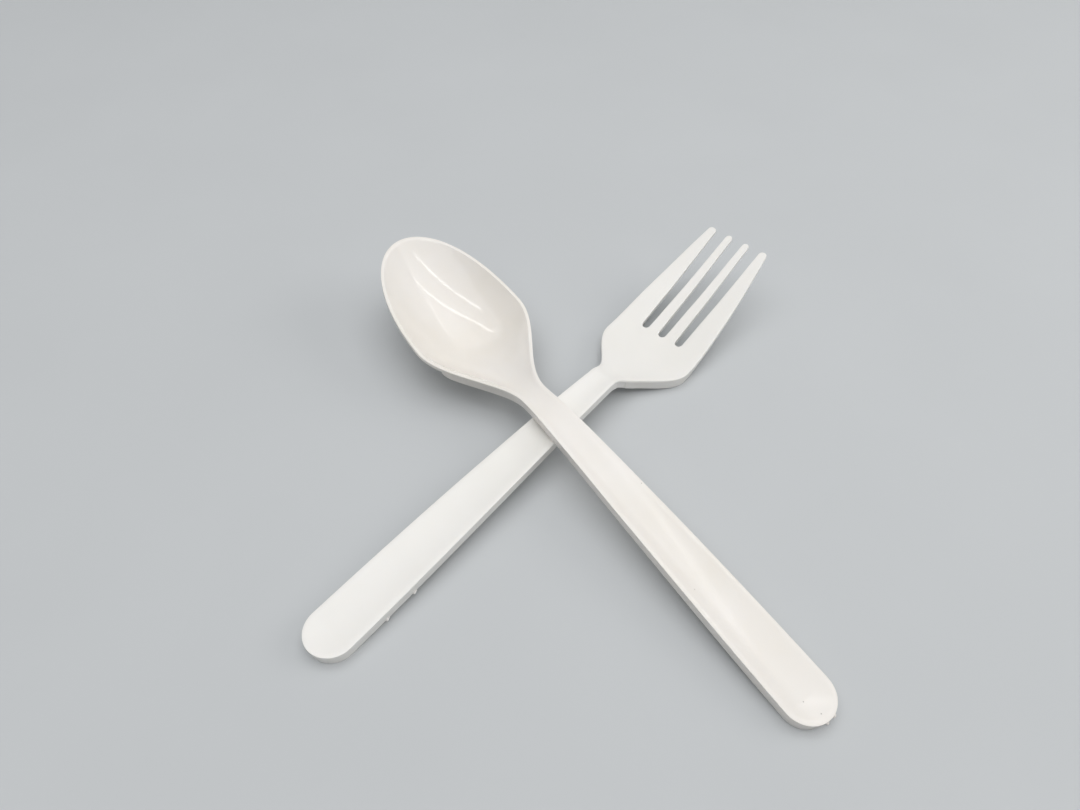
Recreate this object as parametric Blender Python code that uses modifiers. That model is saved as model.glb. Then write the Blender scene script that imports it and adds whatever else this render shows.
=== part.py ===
"""A moulded white plastic fork with a spoon of the same set laid across it.

Each piece is a thin skin that follows a side profile, over a skirt that stiffens its edge from below,
so the handle is an upside-down channel. Stations run along a piece from its handle's end, sides run
across it from its middle plane. Sizes are in millimetres.
"""
import math

import bmesh
import bpy
from mathutils import Matrix, Vector

MM = 0.001

# Overall sizes
FORK_LENGTH = 166.0
SPOON_LENGTH = 168.0
CROSSING_ANGLE = 79.0           # between the two handles, degrees
FORK_CROSSING_STATION = 80.5    # where the spoon lies on the fork
SPOON_CROSSING_STATION = 93.5   # where the fork lies under the spoon
TOUCH_GAP = 0.3                 # between the two pieces where they touch

# Handle, the same on both pieces
HANDLE_HALF_WIDTH = 6.4         # also the radius of its round end
NECK_HALF_WIDTH = 3.9
NECK_STATION = 100.0
HANDLE_TAPER_POWER = 1.7
HANDLE_FOOT = 6.0               # length of the end that lies flat on its skirt
HANDLE_MIDDLE_STATION = 58.0
HANDLE_MIDDLE_HEIGHT = 7.45
HANDLE_TOP_STATION = 94.0
HANDLE_TOP_HEIGHT = 9.1
FACE_DISH = 0.45                # hollow of the handle's face

# Skin, rim and skirt
SKIN = 1.3
BOWL_SKIN = 1.2
TINE_TIP_SKIN = 0.95
RIM_WIDTH = 0.9                 # flat band along the edge of the face
EDGE_ROUND = 0.2
SKIRT_INSET = 0.3               # the lip stands out over the skirt by this
SKIRT_WALL = 1.0
SKIRT_HEIGHT = 3.8              # at the handle's end, from the face's edge down to the table
NECK_SKIRT_HEIGHT = 3.4
PALM_SKIRT_HEIGHT = 3.6         # on the fork's palm, where it comes down to the table again
SHOULDER_SKIRT_HEIGHT = 3.5     # on the bowl's shoulder
SKIRT_BURIED = 0.9              # how deep under the face's edge a skirt's end stays inside the skin

# Fork's head
FLARE_START = 103.2
FLARE_END = 121.8
HEAD_HALF_WIDTH = 14.35
TIP_HALF_WIDTH = 10.3
HEAD_TAPER_POWER = 1.6
NECK_BEND_STATION = 101.0       # the fork's neck dips to the head from here
NECK_BEND_HEIGHT = 9.15
HEAD_DIP_STATION = 108.5
HEAD_DIP_HEIGHT = 5.7
HEAD_LOW_STATION = 120.5
HEAD_RISE_STATION = 140.0
HEAD_RISE_HEIGHT = 8.3
TINE_TIP_HEIGHT = 17.4
PALM_DISH = 0.6
TINES = 4
TINE_WIDTH = 3.15
SLOT_WIDTH = 2.7                # at its mouth
SLOT_ROOT_WIDTH = 2.4
SLOT_START = 128.2
TINE_TIP_RADIUS = 0.8
TINE_TAPER = 10.0               # length over which a tine narrows to its tip
FORK_SKIRT_FADE = 122.0
FORK_SKIRT_END = 139.0

# Spoon's bowl
BOWL_FLARE_START = 101.8
BOWL_WIDE_STATION = 131.8
BOWL_HALF_WIDTH = 17.35
BOWL_FRONT_POWER = 2.2
BOWL_START = 101.0
BOWL_DEPTH = 8.0
BOWL_SECTION_POWER = 2.3
BOWL_LOW_STATION = 113.0
BOWL_LOW_HEIGHT = 7.5
BOWL_RISE_STATION = 136.0
BOWL_RISE_HEIGHT = 9.5
SPOON_TIP_HEIGHT = 14.4
SPOON_SKIRT_END = 124.5
SPOON_SKIRT_CORNER = 3.5

# Moulding flash: station, side, size and height over the skirt's lower edge of each small nub
FORK_NUBS = ((17.0, -1, 0.45, 0.15), (25.5, -1, 0.5, 0.2))
SPOON_NUBS = ((0.05, -1, 0.4, 0.45), (0.6, -1, 0.45, 0.6))

# Cutter for the tines
COMB_MARGIN = 3.0               # beyond the head on all sides
COMB_CLEAR = 0.02               # left between the cutter and the head's edge where a tine's taper starts
COMB_REACH = 30.0               # up and down

# Fineness
END_STEPS = 7
CORNER_STEPS = 4
END_FAN = 3.0                   # from the handle's end to where its middle line starts
BOWL_FAN = 6.0                  # the same at the bowl's front
HANDLE_STEP = 7.5
HEAD_STEP = 2.2
SIDE_STEPS = (0.0, 0.22, 0.44, 0.64, 0.82, 0.94, 1.0)


def smooth_step(value):
    """0 to 1 with a soft start and end."""
    value = min(max(value, 0.0), 1.0)
    return value * value * (3.0 - 2.0 * value)


def smooth_curve(points, station):
    """Height at a station on a smooth curve through (station, height) points, without overshoot."""
    if station <= points[0][0]:
        return points[0][1]
    if station >= points[-1][0]:
        return points[-1][1]
    spans = [b[0] - a[0] for a, b in zip(points, points[1:])]
    slopes = [(b[1] - a[1]) / span for a, b, span in zip(points, points[1:], spans)]
    tangents = [slopes[0]]
    for index in range(1, len(slopes)):
        before, after = slopes[index - 1], slopes[index]
        if before * after <= 0.0:
            tangents.append(0.0)
            continue
        first = 2.0 * spans[index] + spans[index - 1]
        second = spans[index] + 2.0 * spans[index - 1]
        tangents.append((first + second) / (first / before + second / after))
    tangents.append(slopes[-1])
    index = max(i for i, point in enumerate(points[:-1]) if station >= point[0])
    span = spans[index]
    at = (station - points[index][0]) / span
    start, end = points[index][1], points[index + 1][1]
    rise = at * at * (3.0 - 2.0 * at)
    lift = at * (1.0 - at) ** 2 * span * tangents[index]
    settle = at * at * (1.0 - at) * span * tangents[index + 1]
    return start + (end - start) * rise + lift - settle


def handle_half_width(station):
    """Round end, then a taper to the neck."""
    if station < HANDLE_HALF_WIDTH:
        return math.sqrt(max(HANDLE_HALF_WIDTH ** 2 - (HANDLE_HALF_WIDTH - station) ** 2, 0.0))
    along = min((station - HANDLE_HALF_WIDTH) / (NECK_STATION - HANDLE_HALF_WIDTH), 1.0)
    return HANDLE_HALF_WIDTH - (HANDLE_HALF_WIDTH - NECK_HALF_WIDTH) * along ** HANDLE_TAPER_POWER


def fork_half_width(station):
    """The fork's outline, before its tines are cut."""
    if station <= FLARE_START:
        return handle_half_width(station)
    if station <= FLARE_END:
        flare = smooth_step((station - FLARE_START) / (FLARE_END - FLARE_START))
        return NECK_HALF_WIDTH + (HEAD_HALF_WIDTH - NECK_HALF_WIDTH) * flare
    along = (station - FLARE_END) / (FORK_LENGTH - FLARE_END)
    return HEAD_HALF_WIDTH - (HEAD_HALF_WIDTH - TIP_HALF_WIDTH) * along ** HEAD_TAPER_POWER


def spoon_half_width(station):
    """The spoon's outline: handle, neck and egg-shaped bowl."""
    if station <= BOWL_FLARE_START:
        return handle_half_width(station)
    if station <= BOWL_WIDE_STATION:
        flare = smooth_step((station - BOWL_FLARE_START) / (BOWL_WIDE_STATION - BOWL_FLARE_START))
        return NECK_HALF_WIDTH + (BOWL_HALF_WIDTH - NECK_HALF_WIDTH) * flare
    along = min((station - BOWL_WIDE_STATION) / (SPOON_LENGTH - BOWL_WIDE_STATION), 1.0)
    return BOWL_HALF_WIDTH * math.sqrt(max(1.0 - along ** BOWL_FRONT_POWER, 0.0))


HANDLE_PROFILE = [
    (HANDLE_FOOT, SKIRT_HEIGHT),
    (HANDLE_MIDDLE_STATION, HANDLE_MIDDLE_HEIGHT),
    (HANDLE_TOP_STATION, HANDLE_TOP_HEIGHT),
]
FORK_PROFILE = HANDLE_PROFILE + [
    (NECK_BEND_STATION, NECK_BEND_HEIGHT),
    (HEAD_DIP_STATION, HEAD_DIP_HEIGHT),
    (HEAD_LOW_STATION, PALM_SKIRT_HEIGHT),
    (HEAD_RISE_STATION, HEAD_RISE_HEIGHT),
    (FORK_LENGTH, TINE_TIP_HEIGHT),
]
SPOON_PROFILE = HANDLE_PROFILE + [
    (BOWL_LOW_STATION, BOWL_LOW_HEIGHT),
    (BOWL_RISE_STATION, BOWL_RISE_HEIGHT),
    (SPOON_LENGTH, SPOON_TIP_HEIGHT),
]


def fork_edge_height(station):
    return smooth_curve(FORK_PROFILE, station)


def spoon_edge_height(station):
    return smooth_curve(SPOON_PROFILE, station)


def share_out(point, half_width):
    """How far a point of the face lies from the middle towards the rim's inner edge, 0 to 1."""
    if point.x < HANDLE_HALF_WIDTH:
        centre = Vector((HANDLE_HALF_WIDTH, 0.0))
        return (point - centre).length / (HANDLE_HALF_WIDTH - RIM_WIDTH)
    return point.y / (half_width(point.x) - RIM_WIDTH)


def fork_dish(point):
    """How deep the fork's face is hollowed at a point: handle, palm, then flat tines."""
    palm = smooth_step((point.x - FLARE_START) / (SLOT_START - FLARE_START))
    tines = smooth_step((point.x - SLOT_START) / (FORK_LENGTH - SLOT_START))
    middle = FACE_DISH + (PALM_DISH - FACE_DISH) * palm
    return middle * (1.0 - tines) * (1.0 - share_out(point, fork_half_width) ** 2)


def spoon_dish(point):
    """How deep the spoon's face is hollowed at a point: shallow on the handle, deep in the bowl."""
    if point.x <= BOWL_WIDE_STATION:
        share = smooth_step((point.x - BOWL_START) / (BOWL_WIDE_STATION - BOWL_START))
        depth = FACE_DISH + (BOWL_DEPTH - FACE_DISH) * share
        out = share_out(point, spoon_half_width)
    else:
        depth = BOWL_DEPTH
        along = (point.x - BOWL_WIDE_STATION) / (SPOON_LENGTH - RIM_WIDTH - BOWL_WIDE_STATION)
        across = point.y / (BOWL_HALF_WIDTH - RIM_WIDTH)
        out = math.sqrt(along ** BOWL_FRONT_POWER + across ** 2)
    power = 2.0 + (BOWL_SECTION_POWER - 2.0) * depth / BOWL_DEPTH
    return depth * (1.0 - min(out, 1.0) ** power)


def skirt_height(station):
    """Height of the skirt below the top edge, along handle and neck."""
    neck = smooth_step((station - HANDLE_FOOT) / (NECK_STATION - HANDLE_FOOT))
    return SKIRT_HEIGHT + (NECK_SKIRT_HEIGHT - SKIRT_HEIGHT) * neck


def fork_skirt_height(station):
    """The fork's skirt deepens again at the palm and fades out along the outer tines."""
    palm = smooth_step((station - FLARE_START) / (HEAD_LOW_STATION - FLARE_START))
    fade = smooth_step((station - FORK_SKIRT_FADE) / (FORK_SKIRT_END - FORK_SKIRT_FADE))
    height = skirt_height(station) + (PALM_SKIRT_HEIGHT - NECK_SKIRT_HEIGHT) * palm
    return height + (SKIRT_BURIED - height) * fade


def spoon_skirt_height(station):
    """The spoon's skirt follows the bowl's shoulder and ends there in a round corner."""
    shoulder = smooth_step((station - BOWL_FLARE_START) / (BOWL_LOW_STATION - BOWL_FLARE_START))
    height = skirt_height(station) + (SHOULDER_SKIRT_HEIGHT - NECK_SKIRT_HEIGHT) * shoulder
    corner = min(max((station - SPOON_SKIRT_END) / SPOON_SKIRT_CORNER + 1.0, 0.0), 1.0)
    return SKIRT_BURIED + (height - SKIRT_BURIED) * math.sqrt(1.0 - corner ** 2)


def steps_between(start, end, step):
    """Evenly spaced stations from start up to but not including end."""
    count = max(1, math.ceil((end - start) / step))
    return [start + (end - start) * index / count for index in range(count)]


def column_across(station, half_width):
    """Points of the face at one station: middle, rim's inner edge and outline."""
    side = half_width(station)
    return Vector((station, 0.0)), Vector((station, side - RIM_WIDTH)), Vector((station, side))


def handle_columns():
    """The round end as a fan of columns, then straight ones, wide apart, to where the handle is highest."""
    centre = Vector((HANDLE_HALF_WIDTH, 0.0))
    columns = []
    for index in range(END_STEPS):
        angle = math.pi / 2.0 * index / END_STEPS
        reach = Vector((-math.cos(angle), math.sin(angle)))
        middle = Vector((END_FAN + (HANDLE_HALF_WIDTH - END_FAN) * index / END_STEPS, 0.0))
        inner = centre + (HANDLE_HALF_WIDTH - RIM_WIDTH) * reach
        columns.append((middle, inner, centre + HANDLE_HALF_WIDTH * reach))
    for station in steps_between(HANDLE_HALF_WIDTH, HANDLE_TOP_STATION, HANDLE_STEP):
        columns.append(column_across(station, handle_half_width))
    return columns


def fork_columns():
    head = steps_between(HANDLE_TOP_STATION, FORK_LENGTH, HEAD_STEP) + [FORK_LENGTH]
    return handle_columns() + [column_across(station, fork_half_width) for station in head]


def spoon_columns():
    """As the fork's, with the bowl's round front as a fan, so that its rim keeps its width."""
    shoulder = steps_between(HANDLE_TOP_STATION, BOWL_WIDE_STATION, HEAD_STEP) + [BOWL_WIDE_STATION]
    columns = handle_columns() + [column_across(station, spoon_half_width) for station in shoulder]
    front = SPOON_LENGTH - BOWL_WIDE_STATION
    count = 2 * END_STEPS
    for index in range(1, count + 1):
        reach = math.sin(math.pi / 2.0 * index / count)
        side = math.sqrt(max(1.0 - reach ** BOWL_FRONT_POWER, 0.0))
        middle = Vector((BOWL_WIDE_STATION + (front - BOWL_FAN) * index / count, 0.0))
        inner = Vector((BOWL_WIDE_STATION + (front - RIM_WIDTH) * reach, (BOWL_HALF_WIDTH - RIM_WIDTH) * side))
        outer = Vector((BOWL_WIDE_STATION + front * reach, BOWL_HALF_WIDTH * side))
        columns.append((middle, inner, outer))
    return columns


def new_collection(name):
    collection = bpy.data.collections.new(name)
    bpy.context.scene.collection.children.link(collection)
    return collection


def add_object(name, bm, collection):
    """A new object from a bmesh whose points are in millimetres."""
    bmesh.ops.scale(bm, vec=(MM, MM, MM), verts=bm.verts)
    mesh = bpy.data.meshes.new(name)
    bm.to_mesh(mesh)
    bm.free()
    obj = bpy.data.objects.new(name, mesh)
    collection.objects.link(obj)
    return obj


def shaped_grid(columns, rows, place):
    """A grid whose point (column, row) is moved to place(column, row); points that meet are merged."""
    bm = bmesh.new()
    bmesh.ops.create_grid(bm, x_segments=columns, y_segments=rows, size=0.5)
    for vert in bm.verts:
        column = round((vert.co.x + 0.5) * columns)
        row = round((vert.co.y + 0.5) * rows)
        vert.co = place(column, row)
    bmesh.ops.remove_doubles(bm, verts=bm.verts, dist=1e-4)
    return bm


def mirror_halves(obj):
    mirror = obj.modifiers.new("halves", "MIRROR")
    mirror.use_axis = (False, True, False)
    mirror.merge_threshold = 1e-6


def skin_sheet(name, columns, edge_height, dish, collection):
    """Half of a piece's top surface, open at the middle plane, mirrored."""
    last = len(SIDE_STEPS)

    def place(column, row):
        middle, inner, outer = columns[column]
        if row == last:
            return Vector((outer.x, outer.y, edge_height(outer.x)))
        point = middle.lerp(inner, SIDE_STEPS[row])
        return Vector((point.x, point.y, edge_height(point.x) - dish(point)))

    bm = shaped_grid(len(columns) - 1, last, place)
    obj = add_object(name, bm, collection)
    mirror_halves(obj)
    return obj


def corner_stations(end, corner):
    """Stations along a skirt's round corner, closer together towards its end."""
    return [end - corner * (1.0 - math.sin(math.pi / 2.0 * index / CORNER_STEPS)) for index in range(CORNER_STEPS)]


def skirt_sheet(name, columns, last_stations, half_width, edge_height, height, collection):
    """Half of the wall under a piece's edge, along the outline set in by SKIRT_INSET, mirrored."""
    path = [outer for middle, inner, outer in columns if outer.x < last_stations[0] - SKIRT_INSET]
    path += [Vector((station, half_width(station))) for station in last_stations]
    across_end = Vector((path[1].x, -path[1].y))
    around = [across_end] + path + [path[-1]]

    def place(column, row):
        here = path[column]
        along = (around[column + 2] - around[column]).normalized()
        point = here + SKIRT_INSET * Vector((along.y, -along.x))
        top = edge_height(here.x) - SKIN / 2.0
        bottom = edge_height(here.x) - height(here.x)
        return Vector((point.x, point.y, bottom + (top - bottom) * row))

    bm = shaped_grid(len(path) - 1, 1, place)
    obj = add_object(name, bm, collection)
    mirror_halves(obj)
    return obj


def apply_modifiers(obj):
    """Turn an object's modifier result into its own mesh."""
    graph = bpy.context.evaluated_depsgraph_get()
    mesh = bpy.data.meshes.new_from_object(obj.evaluated_get(graph))
    obj.modifiers.clear()
    obj.data = mesh


def thicken(obj, wall, offset):
    solid = obj.modifiers.new("wall", "SOLIDIFY")
    solid.thickness = wall * MM
    solid.offset = offset
    return solid


def thin_towards(obj, full, thin, start, end):
    """Thin the wall from full at the start station to thin at the end station."""
    group = obj.vertex_groups.new(name="thickness")
    for vert in obj.data.vertices:
        along = smooth_step((vert.co.x / MM - start) / (end - start))
        group.add([vert.index], 1.0 + (thin / full - 1.0) * along, "REPLACE")
    obj.modifiers["wall"].vertex_group = group.name


def round_edges(obj):
    bevel = obj.modifiers.new("edges", "BEVEL")
    bevel.width = EDGE_ROUND * MM
    bevel.segments = 2
    bevel.limit_method = "ANGLE"
    bevel.angle_limit = math.radians(60.0)


def combine(obj, other, operation):
    boolean = obj.modifiers.new(operation.lower(), "BOOLEAN")
    boolean.operation = operation
    boolean.object = other
    apply_modifiers(obj)


def as_cutter(obj):
    obj.hide_render = True
    obj.display_type = "WIRE"


def comb_outline():
    """Plan outline of what is cut away between and beyond the tines."""
    pitch = TINE_WIDTH + SLOT_WIDTH
    taper_start = FORK_LENGTH - TINE_TAPER
    shoulder = fork_half_width(taper_start) + COMB_CLEAR
    beyond = FORK_LENGTH + COMB_MARGIN
    wide = shoulder + COMB_MARGIN
    points = [(beyond, -wide), (taper_start, -wide), (taper_start, -shoulder)]
    for index in range(TINES):
        middle = pitch * (index - (TINES - 1) / 2.0)
        left = middle - TINE_WIDTH / 2.0
        right = middle + TINE_WIDTH / 2.0
        points += tine_end(index, left, right)
        if index < TINES - 1:
            points += slot_root(right, right + SLOT_WIDTH)
    points += [(taper_start, shoulder), (taper_start, wide), (beyond, wide)]
    return points


def tine_end(index, left, right):
    """Round tip of one tine; an outer tine's tip sits between the head's edge and its inner side."""
    if index == 0:
        left = -TIP_HALF_WIDTH
    if index == TINES - 1:
        right = TIP_HALF_WIDTH
    middle = (left + right) / 2.0
    centre = FORK_LENGTH - TINE_TIP_RADIUS
    arc = []
    for step in range(END_STEPS + 1):
        angle = math.pi * (step / END_STEPS - 0.5)
        arc.append((centre + TINE_TIP_RADIUS * math.cos(angle), middle + TINE_TIP_RADIUS * math.sin(angle)))
    return arc


def slot_root(left, right):
    """Side of a tine, the slot's round root and the side of the next tine."""
    radius = SLOT_ROOT_WIDTH / 2.0
    middle = (left + right) / 2.0
    centre = SLOT_START + radius
    mouth = FORK_LENGTH - TINE_TAPER
    root = [(mouth, left)]
    for step in range(END_STEPS + 1):
        angle = math.pi * (0.5 + step / END_STEPS)
        root.append((centre + radius * math.cos(angle), middle - radius * math.sin(angle)))
    root.append((mouth, right))
    return root


def add_comb_cutter(collection):
    """The comb outline as a filled curve, extruded through the head and made a mesh."""
    curve = bpy.data.curves.new("tine_comb", "CURVE")
    curve.dimensions = "2D"
    curve.fill_mode = "BOTH"
    curve.extrude = COMB_REACH * MM
    points = comb_outline()
    spline = curve.splines.new("POLY")
    spline.points.add(len(points) - 1)
    for point, (station, side) in zip(spline.points, points):
        point.co = (station * MM, side * MM, 0.0, 1.0)
    spline.use_cyclic_u = True
    source = bpy.data.objects.new("tine_comb_curve", curve)
    collection.objects.link(source)
    graph = bpy.context.evaluated_depsgraph_get()
    mesh = bpy.data.meshes.new_from_object(source.evaluated_get(graph))
    bm = bmesh.new()
    bm.from_mesh(mesh)
    bmesh.ops.remove_doubles(bm, verts=bm.verts, dist=1e-7)
    bm.to_mesh(mesh)
    bm.free()
    cutter = bpy.data.objects.new("tine_comb", mesh)
    collection.objects.link(cutter)
    bpy.data.objects.remove(source)
    as_cutter(cutter)
    return cutter


def add_nubs(obj, nubs, half_width, edge_height, height, collection):
    """Small points of moulding flash on the skirt's lower edge."""
    for station, side, size, rise in nubs:
        bm = bmesh.new()
        bmesh.ops.create_icosphere(bm, subdivisions=2, radius=size)
        level = edge_height(station) - height(station) + rise
        place = Vector((station, side * (half_width(station) - SKIRT_INSET - 0.3 * size), level))
        bmesh.ops.translate(bm, vec=place, verts=bm.verts)
        nub = add_object(obj.name + "_nub", bm, collection)
        as_cutter(nub)
        combine(obj, nub, "UNION")


def plastic(name, colour, roughness):
    material = bpy.data.materials.new(name)
    material.use_nodes = True
    shader = material.node_tree.nodes["Principled BSDF"]
    shader.inputs["Base Color"].default_value = (*colour, 1.0)
    shader.inputs["Roughness"].default_value = roughness
    shader.inputs["Metallic"].default_value = 0.0
    return material


def finish(obj, material):
    obj.data.materials.clear()
    obj.data.materials.append(material)
    obj.data.shade_smooth()
    obj.data.set_sharp_from_angle(angle=math.radians(35.0))


def build_fork(collection, cutters):
    columns = fork_columns()
    fork = skin_sheet("fork", columns, fork_edge_height, fork_dish, collection)
    thicken(fork, SKIN, -1.0)
    thin_towards(fork, SKIN, TINE_TIP_SKIN, SLOT_START, FORK_LENGTH)
    round_edges(fork)
    apply_modifiers(fork)
    combine(fork, add_comb_cutter(cutters), "DIFFERENCE")
    skirt = skirt_sheet("fork_skirt", columns, [FORK_SKIRT_END], fork_half_width, fork_edge_height,
                        fork_skirt_height, cutters)
    thicken(skirt, SKIRT_WALL, 1.0)
    as_cutter(skirt)
    combine(fork, skirt, "UNION")
    add_nubs(fork, FORK_NUBS, fork_half_width, fork_edge_height, fork_skirt_height, cutters)
    finish(fork, plastic("fork_plastic", (0.83, 0.82, 0.79), 0.38))
    return fork


def build_spoon(collection, cutters):
    columns = spoon_columns()
    spoon = skin_sheet("spoon", columns, spoon_edge_height, spoon_dish, collection)
    thicken(spoon, BOWL_SKIN, -1.0)
    round_edges(spoon)
    apply_modifiers(spoon)
    ends = corner_stations(SPOON_SKIRT_END, SPOON_SKIRT_CORNER) + [SPOON_SKIRT_END]
    skirt = skirt_sheet("spoon_skirt", columns, ends, spoon_half_width, spoon_edge_height,
                        spoon_skirt_height, cutters)
    thicken(skirt, SKIRT_WALL, 1.0)
    as_cutter(skirt)
    combine(spoon, skirt, "UNION")
    add_nubs(spoon, SPOON_NUBS, spoon_half_width, spoon_edge_height, spoon_skirt_height, cutters)
    finish(spoon, plastic("spoon_plastic", (0.82, 0.78, 0.73), 0.34))
    return spoon


def spoon_tilt():
    """Angle at which the spoon, standing on its handle's end, lies on the fork's edges."""
    angle = math.radians(CROSSING_ANGLE)
    best = 0.0
    for fork_side in (-1, 1):
        for spoon_side in (-1, 1):
            fork_offset = fork_side * fork_half_width(FORK_CROSSING_STATION)
            spoon_offset = spoon_side * spoon_half_width(SPOON_CROSSING_STATION)
            spoon_station = SPOON_CROSSING_STATION
            spoon_station += (fork_offset + spoon_offset * math.cos(angle)) / math.sin(angle)
            fork_station = FORK_CROSSING_STATION
            fork_station += (spoon_offset + fork_offset * math.cos(angle)) / math.sin(angle)
            underside = spoon_edge_height(spoon_station) - skirt_height(spoon_station)
            need = fork_edge_height(fork_station) + TOUCH_GAP - underside
            best = max(best, need / spoon_station)
    return math.atan(best)


def place_pair(fork, spoon, collection):
    """Lay the spoon across the fork and put the pair's middle over the origin."""
    layout = bpy.data.objects.new("layout", None)
    collection.objects.link(layout)
    turn = Matrix.Rotation(math.radians(90.0), 4, "Z")
    spoon_start = turn @ Vector((-SPOON_CROSSING_STATION * MM, 0.0, 0.0))
    fork_turn = Matrix.Rotation(math.radians(90.0 - CROSSING_ANGLE), 4, "Z")
    fork_start = fork_turn @ Vector((-FORK_CROSSING_STATION * MM, 0.0, 0.0))
    for obj, start, heading, pitch in (
            (fork, fork_start, 90.0 - CROSSING_ANGLE, 0.0),
            (spoon, spoon_start, 90.0, spoon_tilt())):
        obj.parent = layout
        obj.location = start
        obj.rotation_euler = (0.0, -pitch, math.radians(heading))
    bpy.context.view_layer.update()
    corners = [obj.matrix_world @ vert.co for obj in (fork, spoon) for vert in obj.data.vertices]
    low = Vector([min(corner[axis] for corner in corners) for axis in range(3)])
    high = Vector([max(corner[axis] for corner in corners) for axis in range(3)])
    layout.location = (-(low.x + high.x) / 2.0, -(low.y + high.y) / 2.0, -low.z)
    bpy.context.view_layer.update()


def main():
    for obj in list(bpy.data.objects):
        bpy.data.objects.remove(obj)
    collection = new_collection("fork_and_spoon")
    cutters = new_collection("cutters")
    fork = build_fork(collection, cutters)
    spoon = build_spoon(collection, cutters)
    place_pair(fork, spoon, collection)


main()
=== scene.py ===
"""Looks of the moulded fork and spoon: finely meshed mouldings, their plastics, a pale table and soft light.

Both pieces are drawn in their own frame first: stations run from the handle's end to the head, sides run
out from the middle plane, and heights are over the table. Sizes are in millimetres.
"""
import math

import bmesh
import bpy
from mathutils import Matrix, Vector


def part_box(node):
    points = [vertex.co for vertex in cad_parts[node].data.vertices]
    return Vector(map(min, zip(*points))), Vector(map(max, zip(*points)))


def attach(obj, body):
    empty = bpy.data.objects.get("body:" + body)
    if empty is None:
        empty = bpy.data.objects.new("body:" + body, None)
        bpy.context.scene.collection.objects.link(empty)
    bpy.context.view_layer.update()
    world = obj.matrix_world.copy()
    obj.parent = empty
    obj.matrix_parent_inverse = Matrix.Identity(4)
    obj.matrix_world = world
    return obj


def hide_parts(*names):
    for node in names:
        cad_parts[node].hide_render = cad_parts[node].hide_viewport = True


MM = 0.001

# Overall sizes, as in the solids
FORK_LENGTH = 166.0
SPOON_LENGTH = 168.0
CROSSING_ANGLE = 79.0
FORK_CROSSING_STATION = 80.5
SPOON_CROSSING_STATION = 93.5
TOUCH_GAP = 0.3

# Handle
HANDLE_HALF_WIDTH = 6.4
NECK_HALF_WIDTH = 3.9
NECK_STATION = 100.0
HANDLE_TAPER_POWER = 1.7
HANDLE_FOOT = 6.0               # from this station on the handle rises
HANDLE_MIDDLE_STATION = 58.0
HANDLE_MIDDLE_HEIGHT = 7.45
HANDLE_TOP_STATION = 94.0
HANDLE_TOP_HEIGHT = 9.1
FACE_DISH = 0.45

# Skin, rim and skirt
SKIN = 1.3
BOWL_SKIN = 1.2
TINE_TIP_SKIN = 0.95
RIM_WIDTH = 0.9
SKIRT_INSET = 0.42
LIP_THICKNESS = 0.62            # where the skirt stands back under the face's edge
LIP_FADE = 5.0                  # over this length the lip thickens again at the skirt's end
SKIRT_WALL = 1.0
SKIRT_HEIGHT = 3.8
NECK_SKIRT_HEIGHT = 3.4
PALM_SKIRT_HEIGHT = 3.6
SHOULDER_SKIRT_HEIGHT = 3.5
SKIRT_BURIED = 0.9
EDGE_ROUND = 0.18
EDGE_ROUND_STEPS = 3

# Fork's head
FLARE_START = 103.2
FLARE_END = 121.8
HEAD_HALF_WIDTH = 14.35
TIP_HALF_WIDTH = 10.0
HEAD_TAPER_POWER = 1.6
NECK_BEND_STATION = 101.0
NECK_BEND_HEIGHT = 9.15
HEAD_DIP_STATION = 108.5
HEAD_DIP_HEIGHT = 5.7
HEAD_LOW_STATION = 120.5
HEAD_RISE_STATION = 140.0
HEAD_RISE_HEIGHT = 8.3
TINE_TIP_HEIGHT = 17.4
PALM_DISH = 0.6
SLOT_PITCH = 5.85
SLOT_ROOT_WIDTH = 2.4
SLOT_MOUTH_WIDTH = 3.8
SLOT_START = 128.2
TINE_TIP_RADIUS = 1.05
TIP_LEAN = 0.35                 # a tine's end leans forward below by this much
FORK_SKIRT_FADE = 122.0
FORK_SKIRT_END = 139.0
ROOT_RADIUS = SLOT_ROOT_WIDTH / 2.0
ROOT_STATION = SLOT_START + ROOT_RADIUS
TIP_STATION = FORK_LENGTH - TINE_TIP_RADIUS - TIP_LEAN

# Spoon's bowl
BOWL_FLARE_START = 101.8
BOWL_WIDE_STATION = 131.8
BOWL_HALF_WIDTH = 17.35
BOWL_FRONT_POWER = 2.2
BOWL_START = 101.0
BOWL_DEPTH = 8.0
BOWL_SECTION_POWER = 2.3
BOWL_LOW_STATION = 113.0
BOWL_LOW_HEIGHT = 7.5
BOWL_RISE_STATION = 136.0
BOWL_RISE_HEIGHT = 9.5
SPOON_TIP_HEIGHT = 14.4
SPOON_SKIRT_END = 124.5
SPOON_SKIRT_CORNER = 3.5

# Moulding flash: station, side, size, height over the skirt's lower edge and distance out from the outline
FORK_NUBS = ((17.0, -1, 0.45, 0.15, -SKIRT_INSET), (25.5, -1, 0.5, 0.2, -SKIRT_INSET))
SPOON_NUBS = ((0.08, -1, 0.4, 0.45, -SKIRT_INSET), (0.28, -1, 0.54, 1.9, 0.31))
CRUMB_AWAY = 0.55               # the crumb beside each nub: how far along, how large, how much higher
CRUMB_SHARE = 0.62
CRUMB_RISE = 0.12
NUB_FINENESS = 3

# Dark specks in the spoon's face: station, side and size
SPOON_SPECKS = ((5.9, 1.5, 0.19), (2.0, 0.5, 0.2), (64.7, -4.7, 0.17), (37.3, 3.3, 0.15))

# Mesh lines: across a half, from the middle plane to the outline
FACE_LINES = 24                 # steps from the middle to the skirt's inner line
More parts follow.
